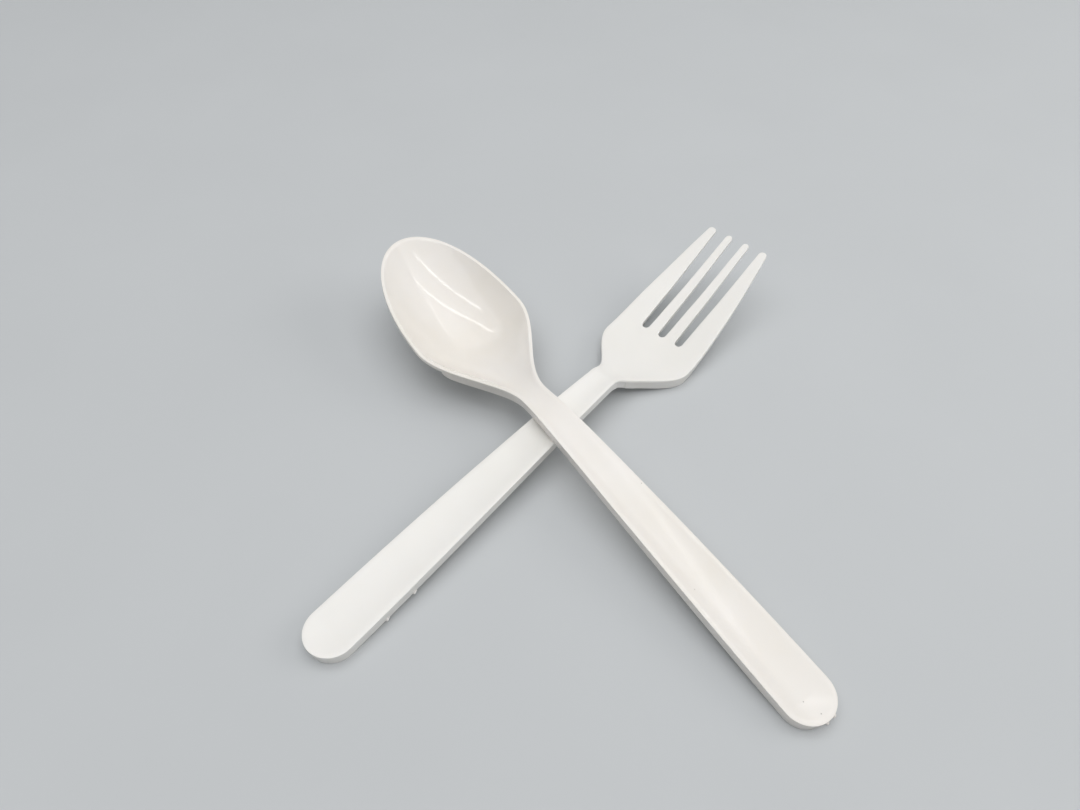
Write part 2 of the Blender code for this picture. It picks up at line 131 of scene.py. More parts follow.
# the last lines' distances from the outline: skirt's inner face, rim, lip, skirt's outer face, outline
EDGE_INSETS = (SKIRT_INSET + SKIRT_WALL, RIM_WIDTH, 0.6, SKIRT_INSET, 0.0)
HALF_SLOT_LINES = 4
STRIP_LINES = 8                 # across a tine or a slot
END_STEPS = 20                  # columns in the handle's round end
FRONT_STEPS = 40                # and in the bowl's round front
HANDLE_STEP = 1.6
HEAD_STEP = 1.0
END_FAN = 3.0                   # how far from either end the fan of columns gathers in the middle
BOWL_FAN = 6.0
ROOT_RINGS = (4.6, 3.7, 2.9, 2.2, 1.6, 1.05, 0.5)   # distances of the mesh rings round a slot's root
ROOT_RING_TURN = 50.0           # a full ring stops this many degrees short of half a circle, at either end
ROOT_RING_FULL = 2.0            # from this distance on a ring has its full turn
TIP_BULGES = (0.35, 0.7, 1.0)   # how round the last columns of a tine are
TIP_RUN = 0.5                   # length over which the tine's end turns round
SLOPE_STEP = 0.5                # half the length over which the outline's slope is taken
MERGE_DISTANCE = 1e-4
SKIRT_MERGE_DISTANCE = 1e-3
DOWNWARD = -0.2                 # a face whose normal points further down than this is underside
ROUNDED_ANGLE = 50.0            # outer edges sharper than this, in degrees, are rounded
SHARP_ANGLE = 35.0              # edges sharper than this, in degrees, are shaded as edges

# View: the photograph's angle of sight
CAMERA_PLACE = (-85.4, -93.2, 173.4)
CAMERA_HEADING = 37.14          # degrees from +Y towards +X
CAMERA_PITCH = 50.15            # degrees below level
CAMERA_LENS = 27.03
SENSOR_WIDTH = 36.0
NEAR_CLIP = 10.0

# Finishes: sizes in millimetres, colours as sRGB
FORK_COLOURS = ("#F2F0EC", "#EEECE7")   # the plain colour, and the duller one of the clouds
SPOON_COLOURS = ("#F1EDE8", "#ECE7DF")
SPECK_COLOUR = "#6E6256"
SPECK_SIZE = 0.22               # of the few specks strewn over both pieces
SPECK_SPACING = 16.0
SPECK_STRENGTH = 0.5
SPECK_CORE = 0.5                # share of a speck that is as dark as it gets
CLOUD_SIZE = 28.0
CLOUD_DETAIL = 3.0
CLOUD_BAND = (0.3, 0.62)        # the part of the cloud noise over which the colour changes
GLOSS_BAND = (0.3, 0.7)         # and over which the gloss changes
GRAIN_SIZE = 0.45               # the mould's blasting is finer; drawn as coarse as it shows
GRAIN_DETAIL = 2.0
GRAIN_HEIGHT = 0.003
RIPPLE_SIZE = 14.0
RIPPLE_DETAIL = 1.0
RIPPLE_HEIGHT = 0.008
FORK_ROUGHNESS = (0.36, 0.32)   # on the handle and in the head
SPOON_ROUGHNESS = (0.15, 0.07)  # the mould is polished where the bowl lies
ROUGHNESS_SPREAD = 0.03
POLISH_LENGTH = 32.0            # from the neck on, over which the satin turns glossy
PLASTIC_IOR = 1.46
SCATTER_SHARE = 0.12            # share of the light that goes into the plastic
SCATTER_DEPTH = 1.2
SCATTER_REACH = (1.0, 0.92, 0.8)    # how far it spreads there in red, green and blue
FORK_SEED = 0.31                # move the patterns, so that the two pieces differ
SPOON_SEED = 0.17
BOARD_COLOURS = ("#C3C6C8", "#C8CBCD")
BOARD_MOTTLE = 60.0
BOARD_DETAIL = 4.0
BOARD_ROUGHNESS = 0.8
BOARD_SHINE = 0.2
TABLE_REACH = 6000.0
TABLE_SEGMENTS = 96
FADE_START = 350.0              # from here to FADE_END the board fades into the backdrop
FADE_END = 1500.0

# Light: name, place, aim, turn about its own axis, size, power and colour of each soft lamp
LAMPS = (
    ("strip_overhead", (-130.0, 10.0, 900.0), (-130.0, 10.0, 0.0), 134.0, (800.0, 30.0), 0.55, "#FFFFFF"),
    ("strip_beside", (100.0, 210.0, 900.0), (100.0, 210.0, 0.0), 148.0, (1150.0, 30.0), 0.7, "#FFFFFF"),
    ("strip_right", (735.0, 580.0, 900.0), (735.0, 580.0, 0.0), 70.0, (1250.0, 30.0), 0.3, "#FFFFFF"),
    ("ceiling", (-50.0, -30.0, 1000.0), (0.0, 0.0, 0.0), 45.0, (1500.0, 1500.0), 8.0, "#FFFFFF"),
    ("window_right", (620.0, -420.0, 420.0), (0.0, 0.0, 0.0), 0.0, (500.0, 350.0), 1.5, "#FFFDFA"),
)
ROOM_COLOUR = "#F4F5F6"
ROOM_STRENGTH = 0.31
BACKDROP_COLOUR = "#CBCED0"

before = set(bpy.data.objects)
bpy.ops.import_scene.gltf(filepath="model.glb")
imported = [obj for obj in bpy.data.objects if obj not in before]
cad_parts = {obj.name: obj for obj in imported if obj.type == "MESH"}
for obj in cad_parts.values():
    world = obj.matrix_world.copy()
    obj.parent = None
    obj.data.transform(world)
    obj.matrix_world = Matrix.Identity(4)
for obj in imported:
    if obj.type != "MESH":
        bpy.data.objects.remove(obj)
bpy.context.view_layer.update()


def smooth_step(value):
    """0 to 1 with a soft start and end."""
    value = min(max(value, 0.0), 1.0)
    return value * value * (3.0 - 2.0 * value)


def mix(start, end, share):
    """The value that lies a share of the way from start to end."""
    return start + (end - start) * share


def smooth_curve(points, station):
    """Height at a station on a smooth curve through (station, height) points, without overshoot."""
    if station <= points[0][0]:
        return points[0][1]
    if station >= points[-1][0]:
        return points[-1][1]
    spans = [b[0] - a[0] for a, b in zip(points, points[1:])]
    slopes = [(b[1] - a[1]) / span for a, b, span in zip(points, points[1:], spans)]
    tangents = [slopes[0]]
    for index in range(1, len(slopes)):
        before, after = slopes[index - 1], slopes[index]
        if before * after <= 0.0:
            tangents.append(0.0)
            continue
        first = 2.0 * spans[index] + spans[index - 1]
        second = spans[index] + 2.0 * spans[index - 1]
        tangents.append((first + second) / (first / before + second / after))
    tangents.append(slopes[-1])
    index = max(i for i, point in enumerate(points[:-1]) if station >= point[0])
    span = spans[index]
    at = (station - points[index][0]) / span
    start, end = points[index][1], points[index + 1][1]
    rise = at * at * (3.0 - 2.0 * at)
    lift = at * (1.0 - at) ** 2 * span * tangents[index]
    settle = at * at * (1.0 - at) * span * tangents[index + 1]
    return start + (end - start) * rise + lift - settle


def handle_half_width(station):
    """Round end, then a taper to the neck."""
    if station < HANDLE_HALF_WIDTH:
        return math.sqrt(max(HANDLE_HALF_WIDTH ** 2 - (HANDLE_HALF_WIDTH - station) ** 2, 0.0))
    along = min((station - HANDLE_HALF_WIDTH) / (NECK_STATION - HANDLE_HALF_WIDTH), 1.0)
    return mix(HANDLE_HALF_WIDTH, NECK_HALF_WIDTH, along ** HANDLE_TAPER_POWER)


def fork_half_width(station):
    """The fork's outline, before its tines narrow."""
    if station <= FLARE_START:
        return handle_half_width(station)
    if station <= FLARE_END:
        flare = smooth_step((station - FLARE_START) / (FLARE_END - FLARE_START))
        return mix(NECK_HALF_WIDTH, HEAD_HALF_WIDTH, flare)
    along = (station - FLARE_END) / (FORK_LENGTH - FLARE_END)
    return mix(HEAD_HALF_WIDTH, TIP_HALF_WIDTH, along ** HEAD_TAPER_POWER)


def spoon_half_width(station):
    """The spoon's outline: handle, neck and egg-shaped bowl."""
    if station <= BOWL_FLARE_START:
        return handle_half_width(station)
    if station <= BOWL_WIDE_STATION:
        flare = smooth_step((station - BOWL_FLARE_START) / (BOWL_WIDE_STATION - BOWL_FLARE_START))
        return mix(NECK_HALF_WIDTH, BOWL_HALF_WIDTH, flare)
    along = min((station - BOWL_WIDE_STATION) / (SPOON_LENGTH - BOWL_WIDE_STATION), 1.0)
    return BOWL_HALF_WIDTH * math.sqrt(max(1.0 - along ** BOWL_FRONT_POWER, 0.0))


HANDLE_PROFILE = [
    (HANDLE_FOOT, SKIRT_HEIGHT),
    (HANDLE_MIDDLE_STATION, HANDLE_MIDDLE_HEIGHT),
    (HANDLE_TOP_STATION, HANDLE_TOP_HEIGHT),
]
FORK_PROFILE = HANDLE_PROFILE + [
    (NECK_BEND_STATION, NECK_BEND_HEIGHT),
    (HEAD_DIP_STATION, HEAD_DIP_HEIGHT),
    (HEAD_LOW_STATION, PALM_SKIRT_HEIGHT),
    (HEAD_RISE_STATION, HEAD_RISE_HEIGHT),
    (FORK_LENGTH, TINE_TIP_HEIGHT),
]
SPOON_PROFILE = HANDLE_PROFILE + [
    (BOWL_LOW_STATION, BOWL_LOW_HEIGHT),
    (BOWL_RISE_STATION, BOWL_RISE_HEIGHT),
    (SPOON_LENGTH, SPOON_TIP_HEIGHT),
]


def fork_edge_height(station):
    """Height of the fork's top edge over the table."""
    return smooth_curve(FORK_PROFILE, station)


def spoon_edge_height(station):
    """Height of the spoon's top edge before the spoon is tilted."""
    return smooth_curve(SPOON_PROFILE, station)


def slant(half_width, station):
    """How much longer a level cut across the edge is than a square one, where the outline runs aslant."""
    if station <= HANDLE_HALF_WIDTH:
        return 1.0
    slope = (half_width(station + SLOPE_STEP) - half_width(station - SLOPE_STEP)) / (2.0 * SLOPE_STEP)
    return math.sqrt(1.0 + slope * slope)


def share_out(point, half_width):
    """How far a point of the face lies from the middle towards the rim's inner edge, 0 to 1."""
    if point.x < HANDLE_HALF_WIDTH:
        centre = Vector((HANDLE_HALF_WIDTH, 0.0))
        return min((point - centre).length / (HANDLE_HALF_WIDTH - RIM_WIDTH), 1.0)
    return min(point.y / (half_width(point.x) - RIM_WIDTH * slant(half_width, point.x)), 1.0)


def fork_dish(point):
    """How deep the fork's face is hollowed at a point: handle, palm, then flat tines."""
    palm = smooth_step((point.x - FLARE_START) / (SLOT_START - FLARE_START))
    tines = smooth_step((point.x - SLOT_START) / (FORK_LENGTH - SLOT_START))
    middle = mix(FACE_DISH, PALM_DISH, palm)
    return middle * (1.0 - tines) * (1.0 - share_out(point, fork_half_width) ** 2)


def spoon_dish(point):
    """How deep the spoon's face is hollowed at a point: shallow on the handle, deep in the bowl."""
    if point.x <= BOWL_WIDE_STATION:
        share = smooth_step((point.x - BOWL_START) / (BOWL_WIDE_STATION - BOWL_START))
        depth = mix(FACE_DISH, BOWL_DEPTH, share)
        out = share_out(point, spoon_half_width)
    else:
        depth = BOWL_DEPTH
        along = (point.x - BOWL_WIDE_STATION) / (SPOON_LENGTH - RIM_WIDTH - BOWL_WIDE_STATION)
        across = point.y / (BOWL_HALF_WIDTH - RIM_WIDTH)
        out = min(math.sqrt(along ** BOWL_FRONT_POWER + across ** 2), 1.0)
    power = mix(2.0, BOWL_SECTION_POWER, depth / BOWL_DEPTH)
    return depth * (1.0 - out ** power)


def skirt_height(station):
    """Height of the skirt below the top edge, along handle and neck."""
    neck = smooth_step((station - HANDLE_FOOT) / (NECK_STATION - HANDLE_FOOT))
    return mix(SKIRT_HEIGHT, NECK_SKIRT_HEIGHT, neck)


def fork_skirt_height(station):
    """The fork's skirt deepens again at the palm and fades out along the outer tines."""
    palm = smooth_step((station - FLARE_START) / (HEAD_LOW_STATION - FLARE_START))
    fade = smooth_step((station - FORK_SKIRT_FADE) / (FORK_SKIRT_END - FORK_SKIRT_FADE))
    height = skirt_height(station) + (PALM_SKIRT_HEIGHT - NECK_SKIRT_HEIGHT) * palm
    return mix(height, SKIRT_BURIED, fade)


def spoon_skirt_height(station):
    """The spoon's skirt follows the bowl's shoulder and ends there in a round corner."""
    shoulder = smooth_step((station - BOWL_FLARE_START) / (BOWL_LOW_STATION - BOWL_FLARE_START))
    height = skirt_height(station) + (SHOULDER_SKIRT_HEIGHT - NECK_SKIRT_HEIGHT) * shoulder
    corner = min(max((station - SPOON_SKIRT_END) / SPOON_SKIRT_CORNER + 1.0, 0.0), 1.0)
    return mix(SKIRT_BURIED, height, math.sqrt(1.0 - corner ** 2))


def steps_between(start, end, step):
    """Evenly spaced stations from start up to but not including end."""
    count = max(1, math.ceil((end - start) / step))
    return [start + (end - start) * index / count for index in range(count)]


def column_line(middle, inset):
    """Mesh points of one column, from the middle to the outline; inset gives a point a distance in."""
    inner = inset(EDGE_INSETS[0])
    points = [middle.lerp(inner, index / FACE_LINES) for index in range(FACE_LINES)]
    return points + [inset(distance) for distance in EDGE_INSETS]


def straight_column(station, half_width):
    """A column square to the middle plane."""
    side = half_width(station)
    wide = slant(half_width, station)
    return column_line(Vector((station, 0.0)), lambda distance: Vector((station, side - distance * wide)))


def handle_columns():
    """The round end as a fan of columns, then straight ones to where the handle is highest."""
    centre = Vector((HANDLE_HALF_WIDTH, 0.0))
    columns = []
    for index in range(END_STEPS):
        angle = math.pi / 2.0 * index / END_STEPS
        reach = Vector((-math.cos(angle), math.sin(angle)))
        middle = Vector((mix(END_FAN, HANDLE_HALF_WIDTH, index / END_STEPS), 0.0))
        columns.append(column_line(middle, lambda distance: centre + (HANDLE_HALF_WIDTH - distance) * reach))
    for station in steps_between(HANDLE_HALF_WIDTH, HANDLE_TOP_STATION, HANDLE_STEP):
        columns.append(straight_column(station, handle_half_width))
    return columns


def spoon_columns():
    """Handle, shoulder, and the bowl's round front as a fan."""
    shoulder = steps_between(HANDLE_TOP_STATION, BOWL_WIDE_STATION, HEAD_STEP) + [BOWL_WIDE_STATION]
    columns = handle_columns() + [straight_column(station, spoon_half_width) for station in shoulder]
    front = SPOON_LENGTH - BOWL_WIDE_STATION
    for index in range(1, FRONT_STEPS + 1):
        reach = math.sin(math.pi / 2.0 * index / FRONT_STEPS)
        side = math.sqrt(max(1.0 - reach ** BOWL_FRONT_POWER, 0.0))
        middle = Vector((BOWL_WIDE_STATION + (front - BOWL_FAN) * index / FRONT_STEPS, 0.0))

        def inset(distance):
            ahead = (front - distance) * reach
            return Vector((BOWL_WIDE_STATION + ahead, (BOWL_HALF_WIDTH - distance) * side))

        columns.append(column_line(middle, inset))
    return columns


def evenly(start, end, count):
    """count values from start towards end, without end itself."""
    return [mix(start, end, index / count) for index in range(count)]


def head_sides(station, first, second):
    """Sides of the head's lines: half slot, inner tine, slot, outer tine.

    first is the middle slot's half width, second that of the outer slot.
    """
    wide = slant(fork_half_width, station)
    edge = [fork_half_width(station) - distance * wide for distance in EDGE_INSETS]
    sides = evenly(0.0, first, HALF_SLOT_LINES)
    sides += evenly(first, SLOT_PITCH - second, STRIP_LINES)
    sides += evenly(SLOT_PITCH - second, SLOT_PITCH + second, STRIP_LINES)
    sides += evenly(SLOT_PITCH + second, edge[0], STRIP_LINES + 1 - len(EDGE_INSETS))
    return sides + edge


def tapered_sides(station):
    """Lines of the tines: the slots widen evenly to their mouths."""
    share = (station - ROOT_STATION) / (TIP_STATION - ROOT_STATION)
    slot = mix(ROOT_RADIUS, SLOT_MOUTH_WIDTH / 2.0, share)
    return head_sides(station, slot, slot)


def palm_column(station):
    """Even lines at the neck, gathered towards the tines as the palm widens."""
    even = [point.y for point in straight_column(station, fork_half_width)]
    head = head_sides(station, ROOT_RADIUS, ROOT_RADIUS)
    share = smooth_step((station - FLARE_START) / (ROOT_STATION - ROOT_RINGS[0] - FLARE_START))
    return [Vector((station, mix(a, b, share))) for a, b in zip(even, head)]


def ring_column(distance):
    """A column that bends round the slots' roots; at no distance it is the roots' own arcs."""
    turn = math.radians(ROOT_RING_TURN) * min(distance / ROOT_RING_FULL, 1.0)
    radius = ROOT_RADIUS + distance
    end = radius * math.cos(turn)
    back = ROOT_STATION - radius * math.sin(turn)
    ring = [Vector((back, side)) for side in head_sides(back, end, end)]
    # the middle slot, of which one half is drawn, and the outer slot
    for middle, first, count, start in ((0.0, 0, HALF_SLOT_LINES, STRIP_LINES // 2),
                                        (SLOT_PITCH, HALF_SLOT_LINES + STRIP_LINES, STRIP_LINES, 0)):
        for index in range(count + 1):
            angle = turn + (math.pi - 2.0 * turn) * (start + index) / STRIP_LINES
            ring[first + index] = Vector((
                ROOT_STATION - radius * math.sin(angle), middle - radius * math.cos(angle)))
    station = ROOT_STATION - distance - ROOT_RADIUS / 2.0
    plain = [Vector((station, side)) for side in head_sides(station, ROOT_RADIUS, ROOT_RADIUS)]
    share = smooth_step(distance / (ROOT_RINGS[0] + 1.0))
    return [bent.lerp(level, share) for bent, level in zip(ring, plain)]


def tip_column(bulge, station):
    """The tines' ends: each tine's points pushed forward in an arc."""
    points = [Vector((station, side)) for side in tapered_sides(station)]
    # the first lines of the inner and the outer tine
    for first in (HALF_SLOT_LINES, HALF_SLOT_LINES + 2 * STRIP_LINES):
        inner, outer = points[first].y, points[first + STRIP_LINES].y
        middle, half = (inner + outer) / 2.0, (outer - inner) / 2.0
        for index in range(STRIP_LINES + 1):
            point = points[first + index]
            point.y = mix(point.y, middle - half * math.cos(math.pi * index / STRIP_LINES), bulge)
            out = min(abs(point.y - middle) / half, 1.0)
            point.x += bulge * TINE_TIP_RADIUS * math.sqrt(1.0 - out * out)
    return points


def fork_columns():
    """Handle, palm, rings round the slots' roots, and tines. Also the index of the roots' column."""
    last_palm = ROOT_STATION - ROOT_RINGS[0] - 2.0 * ROOT_RADIUS
    columns = handle_columns()
    for station in steps_between(HANDLE_TOP_STATION, last_palm, HEAD_STEP):
        columns.append(palm_column(station))
    columns += [ring_column(distance) for distance in ROOT_RINGS]
    root = len(columns)
    columns.append(ring_column(0.0))
    ahead = steps_between(ROOT_STATION, TIP_STATION - TIP_RUN, HEAD_STEP)[1:]
    columns += [[Vector((station, side)) for side in tapered_sides(station)] for station in ahead]
    columns += [tip_column(bulge, TIP_STATION - TIP_RUN * (1.0 - bulge)) for bulge in TIP_BULGES]
    return columns, root


def face_sheet(columns, edge_height, dish, open_faces):
    """The moulding's top face: half of it as a grid, mirrored; open_faces tells what a slot leaves out."""
    across = len(columns[0]) - 1
    along = len(columns) - 1
    bm = bmesh.new()
    line = bm.verts.layers.float.new("line")
    bmesh.ops.create_grid(bm, x_segments=along, y_segments=across, size=0.5)
    for vert in bm.verts:
        column = round((vert.co.x + 0.5) * along)
        row = round((vert.co.y + 0.5) * across)
        point = columns[column][row]
        vert[line] = row
        height = edge_height(point.x) - dish(point)
        vert.co = (point.x, point.y, height)
        vert.index = column     # read again below
    left_out = []
    for face in bm.faces:
        column = min(vert.index for vert in face.verts)
        row = min(vert[line] for vert in face.verts)
        if open_faces(column, row):
            left_out.append(face)
    bmesh.ops.delete(bm, geom=left_out, context="FACES")
    bmesh.ops.mirror(bm, geom=bm.verts[:] + bm.edges[:] + bm.faces[:], matrix=Matrix.Identity(4),
                     merge_dist=MERGE_DISTANCE, axis="Y")
    bmesh.ops.remove_doubles(bm, verts=bm.verts, dist=MERGE_DISTANCE)
    bmesh.ops.recalc_face_normals(bm, faces=bm.faces)
    if sum(face.normal.z for face in bm.faces) < 0.0:
        bmesh.ops.reverse_faces(bm, faces=bm.faces)
    return bm


def give_thickness(bm, name, wall, thin, start, end):
    """Solidify the sheet downwards; the wall thins from the start station to the end station."""
    mesh = bpy.data.meshes.new(name)
    bm.to_mesh(mesh)
    bm.free()
    obj = bpy.data.objects.new(name, mesh)
    bpy.context.scene.collection.objects.link(obj)
    group = obj.vertex_groups.new(name="thickness")
    for vert in mesh.vertices:
        along = smooth_step((vert.co.x - start) / (end - start))
        group.add([vert.index], mix(1.0, thin / wall, along), "REPLACE")
    solid = obj.modifiers.new("wall", "SOLIDIFY")
    solid.thickness = wall
    solid.offset = -1.0
    solid.vertex_group = group.name
    graph = bpy.context.evaluated_depsgraph_get()
    thick = bmesh.new()
    thick.from_mesh(bpy.data.meshes.new_from_object(obj.evaluated_get(graph)))
    bpy.data.objects.remove(obj)
    return thick


def thin_lip(bm, end, edge_height):
    """Raise the underside under the outer edge, so that a thin lip stands out over the skirt."""
    line = bm.verts.layers.float["line"]
    last = FACE_LINES + len(EDGE_INSETS) - 1
    for vert in bm.verts:
        level = edge_height(vert.co.x)
        if vert[line] < last - 1 or vert.co.z > level - LIP_THICKNESS:
            continue
        fade = smooth_step((vert.co.x - end + LIP_FADE) / LIP_FADE)
        vert.co.z = mix(level - LIP_THICKNESS, vert.co.z, fade)


def pull_skirt(bm, end, edge_height, height):
    """Extrude the underside's band between the skirt's two lines down to the skirt's lower edge."""
    line = bm.verts.layers.float["line"]
    bm.normal_update()
    inner, outer = FACE_LINES, FACE_LINES + len(EDGE_INSETS) - 2
    band = []
    for face in bm.faces:
        lines = [vert[line] for vert in face.verts]
        if face.normal.z < DOWNWARD and min(lines) >= inner and max(lines) <= outer:
            if max(vert.co.x for vert in face.verts) < end:
                band.append(face)
    pulled = bmesh.ops.extrude_face_region(bm, geom=band)["geom"]
    for vert in pulled:
        if isinstance(vert, bmesh.types.BMVert):
            vert.co.z = min(vert.co.z, edge_height(vert.co.x) - height(vert.co.x))
    bmesh.ops.delete(bm, geom=band, context="FACES")
    bmesh.ops.remove_doubles(bm, verts=bm.verts, dist=SKIRT_MERGE_DISTANCE)


def round_edges(bm):
    """Round every outer edge a little, as a mould's edges are."""
    bm.normal_update()
    least = math.radians(ROUNDED_ANGLE)
    edges = [edge for edge in bm.edges
             if len(edge.link_faces) == 2 and edge.calc_face_angle_signed() >= least]
    bmesh.ops.bevel(bm, geom=edges, offset=EDGE_ROUND, offset_type="OFFSET", affect="EDGES",
                    segments=EDGE_ROUND_STEPS, profile=0.5, material=-1, clamp_overlap=True)


def add_nubs(bm, nubs, half_width, edge_height, height):
    """Small points of moulding flash on the skirt, each with a crumb beside it."""
    for station, side, size, rise, out in nubs:
        away = side * (half_width(station) + out)
        level = edge_height(station) - height(station) + rise
        for along, radius, up in ((0.0, size, 0.0), (CRUMB_AWAY, CRUMB_SHARE * size, CRUMB_RISE)):
            place = Matrix.Translation((station + along, away, level + up))
            bmesh.ops.create_icosphere(bm, subdivisions=NUB_FINENESS, radius=radius, matrix=place)


def moulding(name, bm, place):
    """The finished piece in metres, with its place in its mesh."""
    bmesh.ops.transform(bm, matrix=place @ Matrix.Scale(MM, 4), verts=bm.verts)
    mesh = bpy.data.meshes.new(name)
    bm.to_mesh(mesh)
    bm.free()
    mesh.shade_smooth()
    mesh.set_sharp_from_angle(angle=math.radians(SHARP_ANGLE))
    obj = bpy.data.objects.new(name, mesh)
    bpy.context.scene.collection.objects.link(obj)
    return obj


def fork_mesh():
    """The whole fork in its own frame."""
    columns, root = fork_columns()
    inner_slot = HALF_SLOT_LINES
    outer_slot = (HALF_SLOT_LINES + STRIP_LINES, HALF_SLOT_LINES + 2 * STRIP_LINES)

    def is_open(column, row):
        return column >= root and (row < inner_slot or outer_slot[0] <= row < outer_slot[1])

    sheet = face_sheet(columns, fork_edge_height, fork_dish, is_open)
    bm = give_thickness(sheet, "fork_sheet", SKIN, TINE_TIP_SKIN, SLOT_START, FORK_LENGTH)
    thin_lip(bm, FORK_SKIRT_FADE + LIP_FADE, fork_edge_height)
    pull_skirt(bm, FORK_SKIRT_END, fork_edge_height, fork_skirt_height)
    round_edges(bm)
    add_nubs(bm, FORK_NUBS, fork_half_width, fork_edge_height, fork_skirt_height)
    return bm


def spoon_mesh():
    """The whole spoon in its own frame, not yet tilted."""
    sheet = face_sheet(spoon_columns(), spoon_edge_height, spoon_dish, lambda column, row: False)
    bm = give_thickness(sheet, "spoon_sheet", BOWL_SKIN, BOWL_SKIN, BOWL_START, SPOON_LENGTH)
    thin_lip(bm, SPOON_SKIRT_END, spoon_edge_height)
    pull_skirt(bm, SPOON_SKIRT_END, spoon_edge_height, spoon_skirt_height)
    round_edges(bm)
    add_nubs(bm, SPOON_NUBS, spoon_half_width, spoon_edge_height, spoon_skirt_height)
    return bm


def spoon_tilt():
    """Angle at which the spoon, standing on its handle's end, lies on the fork's edges."""
    angle = math.radians(CROSSING_ANGLE)
    best = 0.0
    for fork_side in (-1, 1):
        for spoon_side in (-1, 1):
            fork_offset = fork_side * fork_half_width(FORK_CROSSING_STATION)
            spoon_offset = spoon_side * spoon_half_width(SPOON_CROSSING_STATION)
            spoon_station = SPOON_CROSSING_STATION
            spoon_station += (fork_offset + spoon_offset * math.cos(angle)) / math.sin(angle)
            fork_station = FORK_CROSSING_STATION
            fork_station += (spoon_offset + fork_offset * math.cos(angle)) / math.sin(angle)
            underside = spoon_edge_height(spoon_station) - skirt_height(spoon_station)
            need = fork_edge_height(fork_station) + TOUCH_GAP - underside
            best = max(best, need / spoon_station)
    return math.atan(best)


def layout(spoon_bm):
    """Matrices of fork and spoon in the frame; the spoon is centred on its solid."""
    fork_turn = Matrix.Rotation(math.radians(90.0 - CROSSING_ANGLE), 4, "Z")
    spoon_turn = Matrix.Rotation(math.radians(90.0), 4, "Z")
    tilt = Matrix.Rotation(-spoon_tilt(), 4, "Y")
    reaches = [(tilt @ vert.co).x for vert in spoon_bm.verts]
    spoon_low, spoon_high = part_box("spoon")
    crossing = (spoon_low + spoon_high) / 2.0 / MM
    crossing.y += SPOON_CROSSING_STATION - (min(reaches) + max(reaches)) / 2.0
    crossing.z = 0.0
    fork_place = Matrix.Translation(crossing * MM) @ fork_turn
    fork_place = fork_place @ Matrix.Translation((-FORK_CROSSING_STATION * MM, 0.0, 0.0))
    spoon_place = Matrix.Translation(crossing * MM) @ spoon_turn
    spoon_place = spoon_place @ Matrix.Translation((-SPOON_CROSSING_STATION * MM, 0.0, 0.0))
    return fork_place, spoon_place @ tilt


def linear(code):
    """An sRGB hex value as the linear colour a node takes."""
    parts = [int(code[index:index + 2], 16) / 255.0 for index in (1, 3, 5)]
    return [part / 12.92 if part <= 0.04045 else ((part + 0.055) / 1.055) ** 2.4 for part in parts] + [1.0]


def node(tree, kind, values=None, links=None, **settings):
    """Add a node with its settings, the values of its sockets and its links."""
    made = tree.nodes.new(kind)
    for key, value in settings.items():
        setattr(made, key, value)
    for socket, value in (values or {}).items():
        made.inputs[socket].default_value = value
    for socket, source in (links or {}).items():
        tree.links.new(source, made.inputs[socket])
    return made


